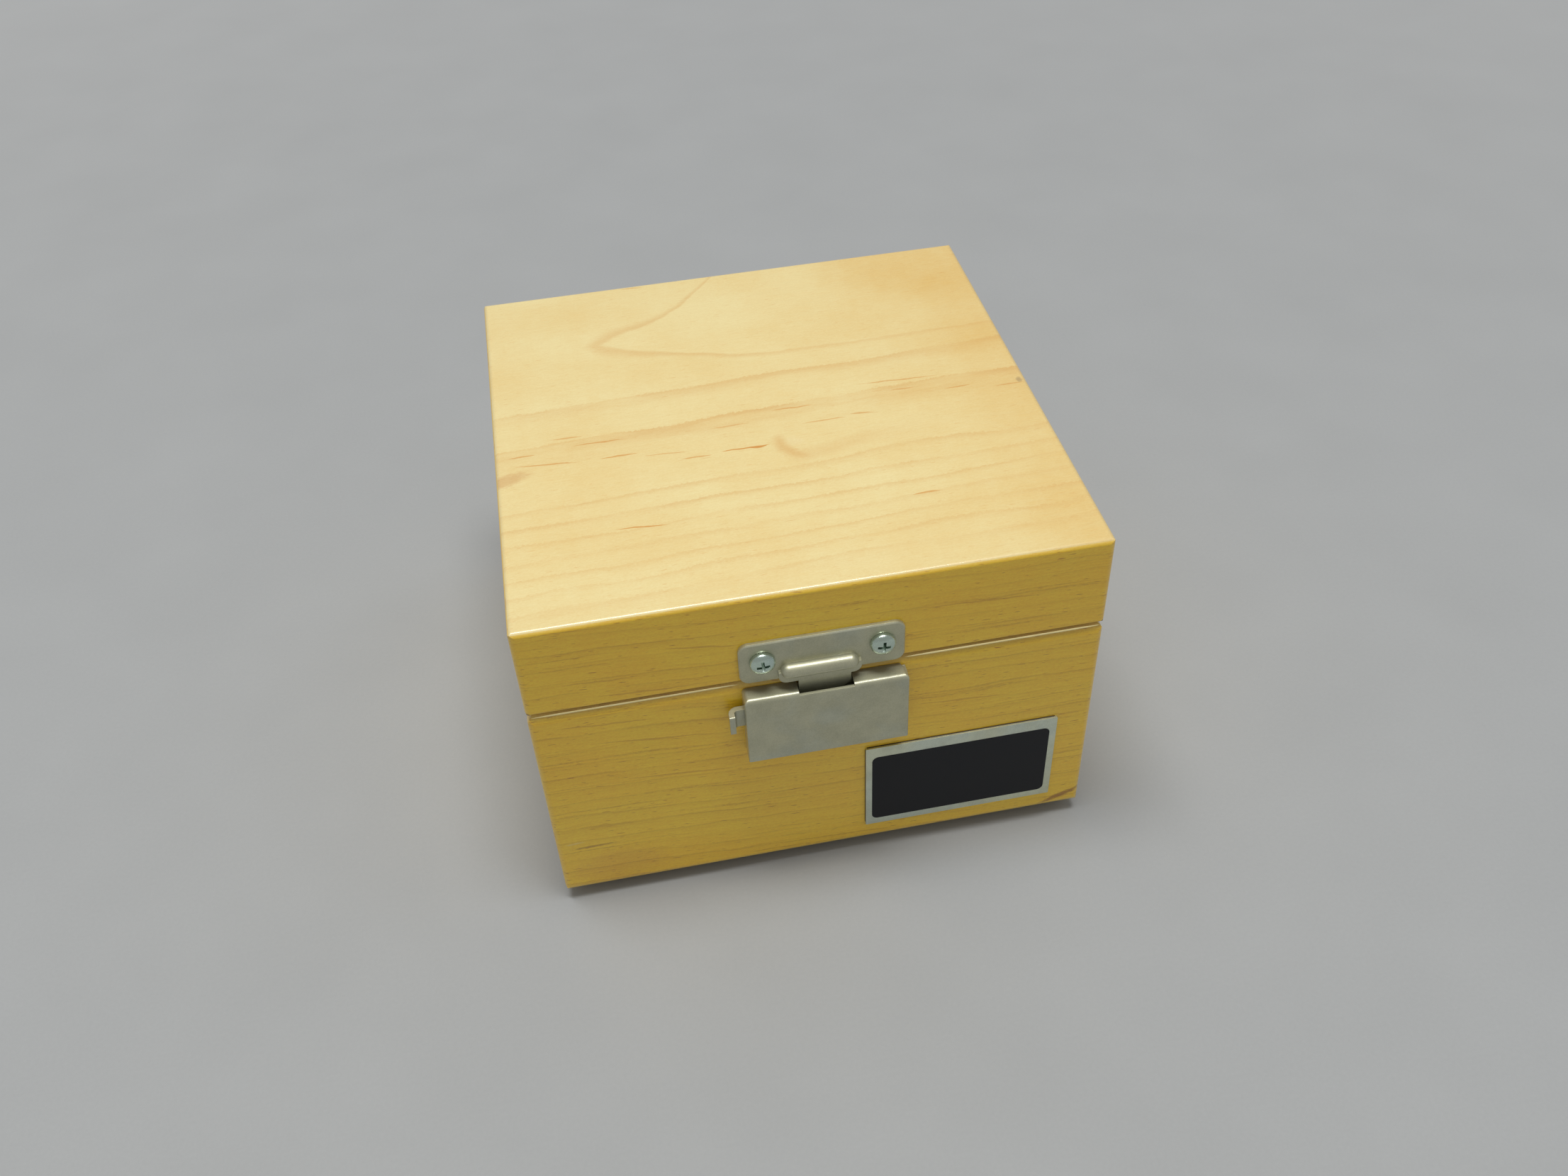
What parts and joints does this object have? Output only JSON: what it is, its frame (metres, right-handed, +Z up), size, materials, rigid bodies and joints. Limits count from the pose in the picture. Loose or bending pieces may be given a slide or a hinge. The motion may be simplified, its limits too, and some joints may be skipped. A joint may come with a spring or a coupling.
{
  "type": "instrument case",
  "caption": "Small mitred wooden instrument case with a hinged lid, a spring-loaded side-slide catch and a foam insert with a pocket.",
  "frame": {"origin": "on the surface that the case stands on, under the middle of the whole case, catch and hinges counted", "axes": "+X along the front from left to right, +Y from the front with the catch to the back with the hinges, +Z up"},
  "size_m": [0.1524, 0.165, 0.1062],
  "materials": {
    "maple": "satin clear lacquer over pale straight-grained maple",
    "birch_plywood": "plain sanded plywood",
    "satin_nickel": "satin nickel plate on pressed steel",
    "hinge_nickel": "satin nickel plate on rolled steel",
    "zinc_screws": "bright bluish zinc plate",
    "spring_steel": "drawn spring wire",
    "nameplate_aluminium": "matt anodised sheet with a dark printed field",
    "foot_rubber": "moulded black rubber",
    "foam": "charcoal open-cell foam"
  },
  "bodies": {
    "base": {"base_front_panel": "maple", "base_right_panel": "maple", "base_back_panel": "maple", "base_left_panel": "maple", "base_bottom_panel": "birch_plywood", "base_foam_insert": "foam", "foot_front_left": "foot_rubber", "foot_front_right": "foot_rubber", "foot_back_right": "foot_rubber", "foot_back_left": "foot_rubber", "latch_cover": "satin_nickel", "latch_base_plate": "satin_nickel", "latch_guide_rivets": "satin_nickel", "hinge_left_base_leaf": "hinge_nickel", "hinge_left_pin": "hinge_nickel", "hinge_right_base_leaf": "hinge_nickel", "hinge_right_pin": "hinge_nickel", "latch_plate_screws": "zinc_screws", "hinge_base_screws": "zinc_screws", "foot_screws": "zinc_screws", "latch_spring": "spring_steel", "nameplate": "nameplate_aluminium"},
    "lid": {"lid_front_panel": "maple", "lid_right_panel": "maple", "lid_back_panel": "maple", "lid_left_panel": "maple", "lid_top_panel": "maple", "lid_foam_pad": "foam", "keeper_plate": "satin_nickel", "keeper_screws": "zinc_screws", "hinge_left_lid_leaf": "hinge_nickel", "hinge_right_lid_leaf": "hinge_nickel", "hinge_lid_screws": "zinc_screws"},
    "latch_bolt": {"latch_bolt": "satin_nickel"}
  },
  "joints": [
    {"name": "lid_hinge", "type": "hinge", "parent": "base", "child": "lid", "pos_m": [0, 0.0789, 0.0776], "axis": [-1, 0, 0], "range_deg": [0, 100]},
    {"name": "bolt_slide", "type": "slide", "parent": "base", "child": "latch_bolt", "axis": [1, 0, 0], "range_m": [0, 0.0024], "stiffness_N_per_m": 300, "springref_m": -0.004, "deforming": ["latch_spring"]}
  ]
}
